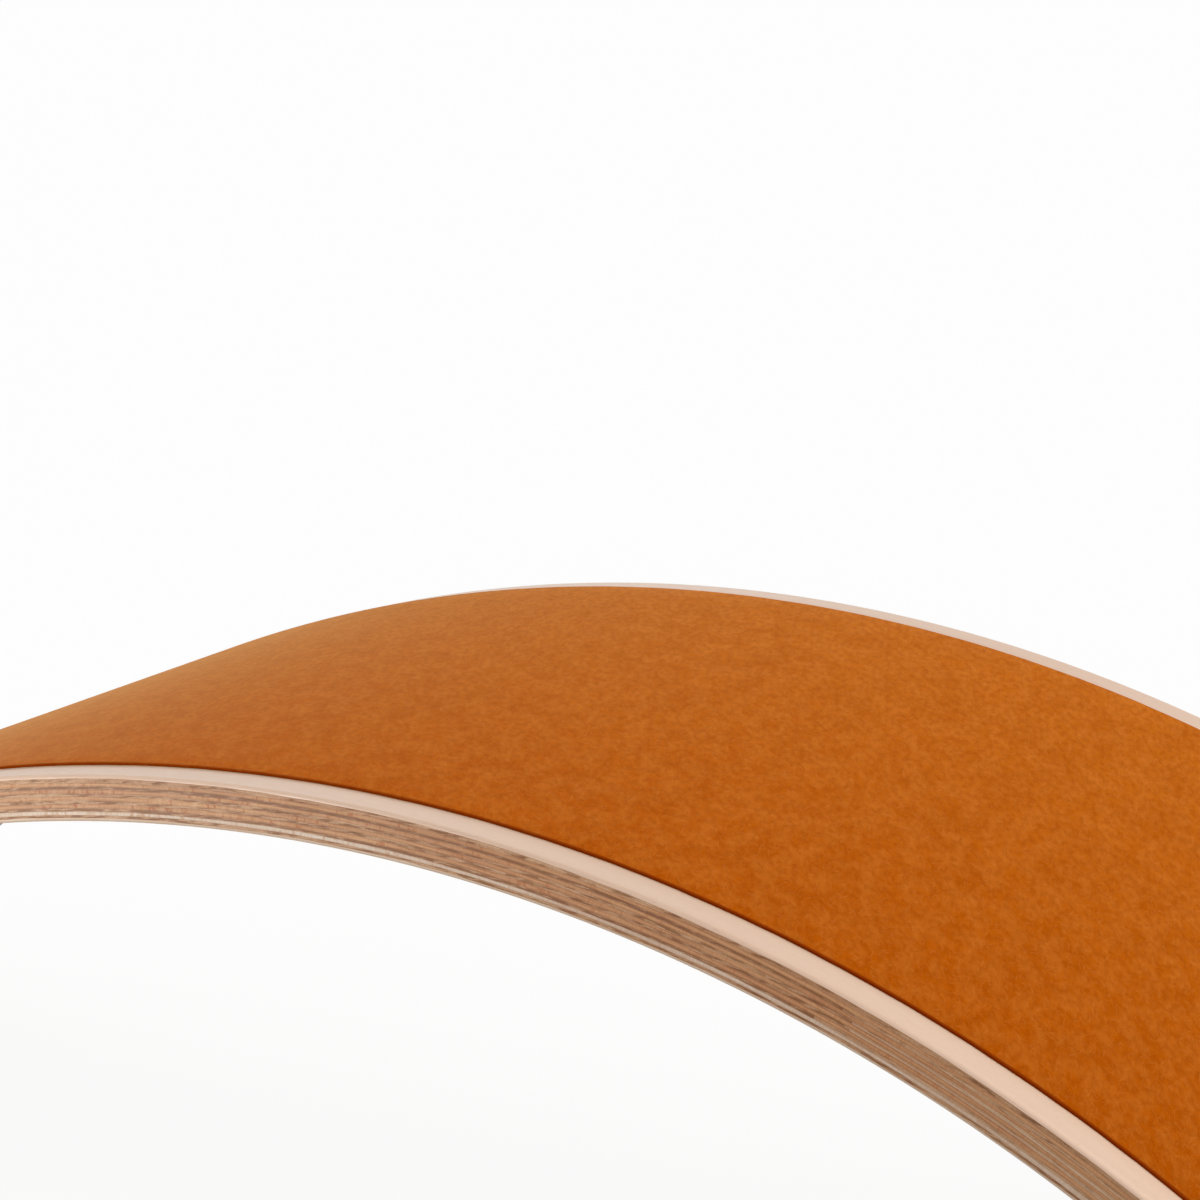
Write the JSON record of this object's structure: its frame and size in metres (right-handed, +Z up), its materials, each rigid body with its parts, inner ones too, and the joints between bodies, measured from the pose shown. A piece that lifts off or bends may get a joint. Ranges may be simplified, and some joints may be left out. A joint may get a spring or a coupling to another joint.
{
  "type": "curved balance board",
  "caption": "Long rectangular board bent into a shallow arch from laminated wood veneers, with a felt cover on its rounded side, to stand, rock and climb on.",
  "frame": {"origin": "on the floor under the middle of the arch, which stands on its two ends", "axes": "+X along the board, +Y across it, +Z up, towards the felt on the crown"},
  "size_m": [0.8, 0.3, 0.1899],
  "materials": {
    "face_veneer": "clear matt lacquer",
    "long_ply": "sanded edge, clear lacquer",
    "cross_ply": "sanded edge, clear lacquer",
    "felt": "pressed felt",
    "adhesive": "clear film"
  },
  "bodies": {
    "root": {"face_veneer_convex": "face_veneer", "face_veneer_concave": "face_veneer", "cross_ply_1": "cross_ply", "cross_ply_2": "cross_ply", "cross_ply_3": "cross_ply", "cross_ply_4": "cross_ply", "cross_ply_5": "cross_ply", "cross_ply_6": "cross_ply", "long_ply_1": "long_ply", "long_ply_2": "long_ply", "long_ply_3": "long_ply", "long_ply_4": "long_ply", "long_ply_5": "long_ply", "felt_adhesive": "adhesive", "felt_cover": "felt"}
  },
  "joints": []
}
